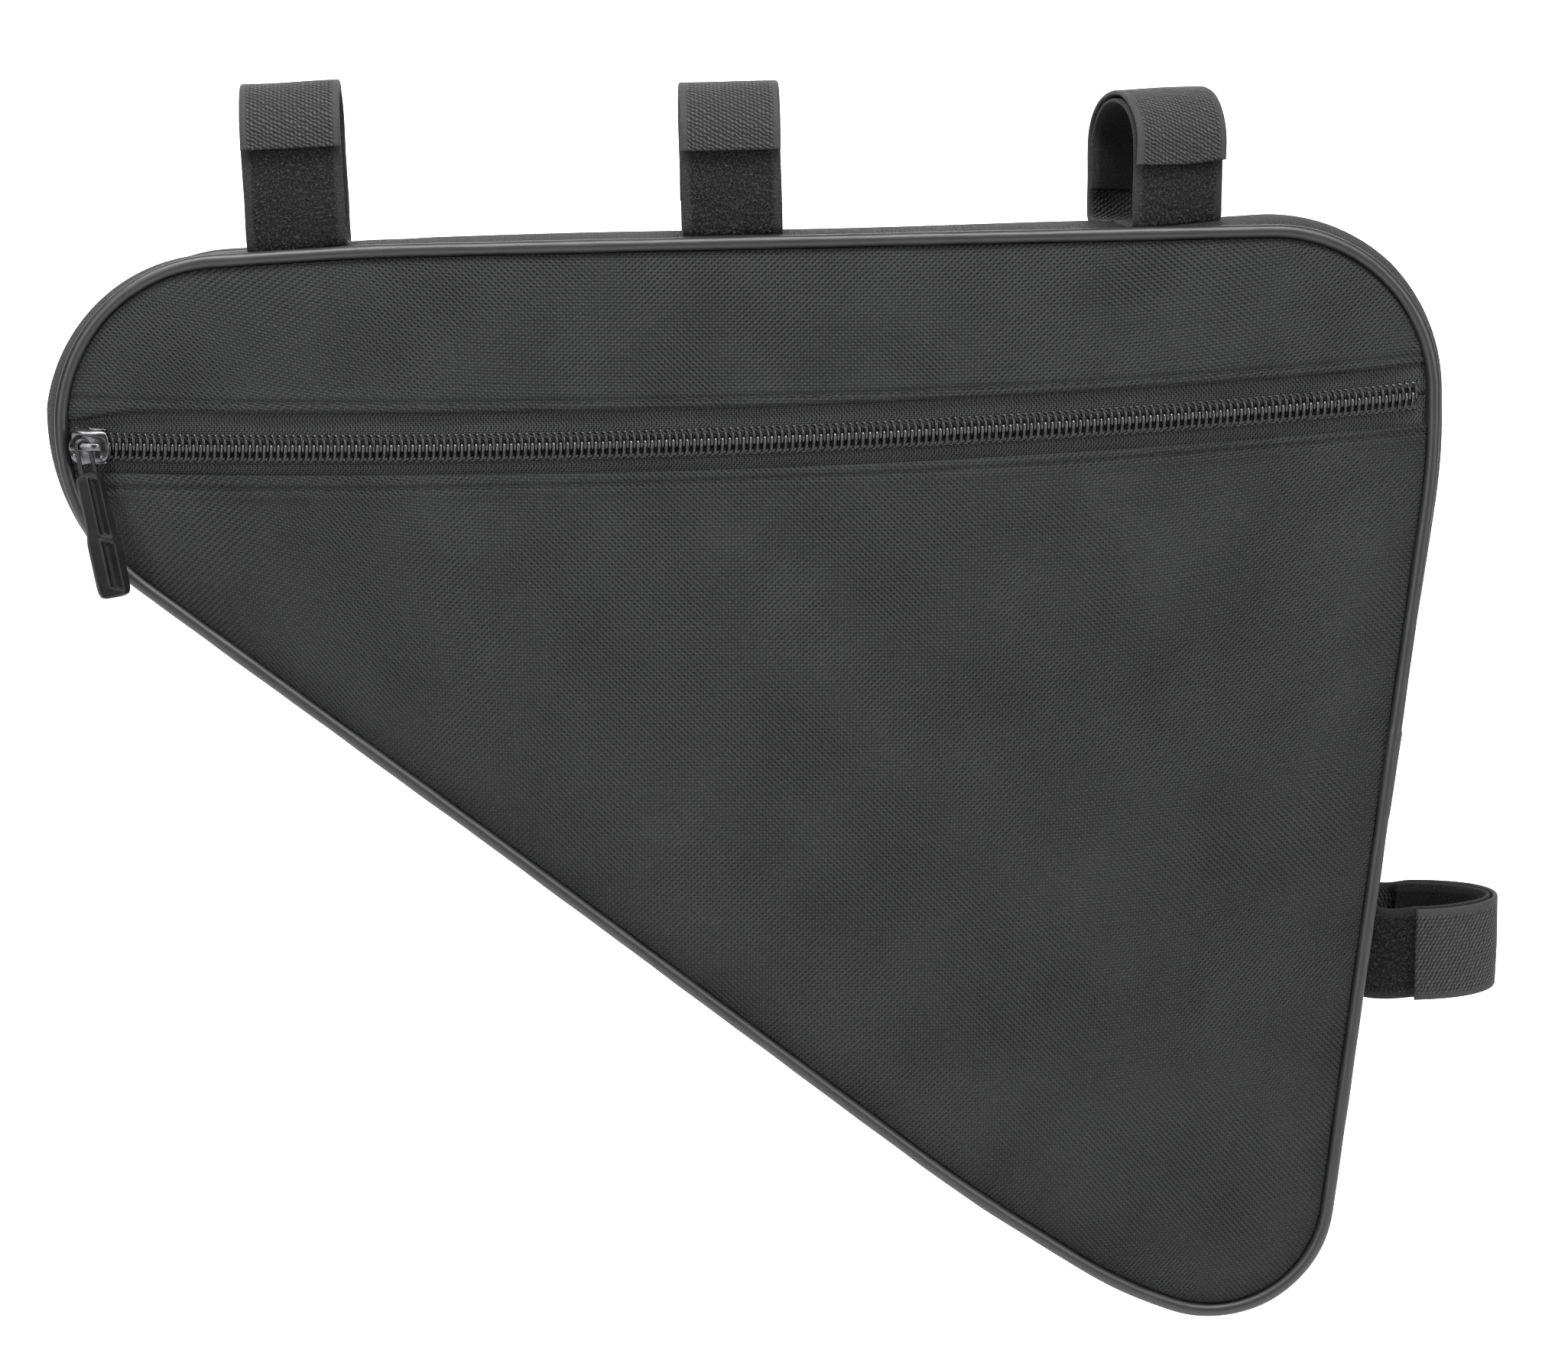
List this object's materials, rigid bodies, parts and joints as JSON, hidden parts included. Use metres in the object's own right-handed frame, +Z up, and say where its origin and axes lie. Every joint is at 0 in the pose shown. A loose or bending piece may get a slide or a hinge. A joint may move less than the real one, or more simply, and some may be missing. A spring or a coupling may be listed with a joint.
{
  "type": "bicycle frame bag",
  "caption": "Triangular cloth frame bag with a piped edge, a curved zip with a hanging pull, and hook-and-loop straps for the top tube and the seat tube.",
  "frame": {"origin": "on the axis of the bicycle's top tube, at the middle strap", "axes": "+X runs along the top tube towards the seat tube, -Y is the side with the zip, +Z is up"},
  "size_m": [0.3691, 0.0707, 0.313],
  "materials": {
    "cloth": "coated oxford weave, dull",
    "piping": "smooth vinyl, soft shine",
    "zip_tape": "woven, dull",
    "zip_coil": "nylon coil, semi-gloss",
    "slider_metal": "dark nickel, polished",
    "pull_rubber": "moulded, satin",
    "loop_tape": "brushed fuzzy tape",
    "hook_tape": "woven back of hook tape"
  },
  "bodies": {
    "bag": {"front_upper_panel": "cloth", "front_lower_panel": "cloth", "back_panel": "cloth", "gusset": "cloth", "front_piping": "piping", "back_piping": "piping", "zip_tape_upper": "zip_tape", "zip_tape_lower": "zip_tape", "zip_coil_upper": "zip_coil", "zip_coil_lower": "zip_coil", "zip_slider": "slider_metal", "strap_left_loop": "loop_tape", "strap_left_hook": "hook_tape", "strap_middle_loop": "loop_tape", "strap_middle_hook": "hook_tape", "strap_right_loop": "loop_tape", "strap_right_hook": "hook_tape", "seat_strap_loop": "loop_tape", "seat_strap_hook": "hook_tape"},
    "pull": {"pull_link": "slider_metal", "pull_grip": "pull_rubber"}
  },
  "joints": [
    {"name": "pull_flip", "type": "hinge", "parent": "bag", "child": "pull", "pos_m": [-0.16044, -0.03238, -0.07171], "axis": [-0.9462, 0.3235, 0], "range_deg": [0, 160]}
  ]
}
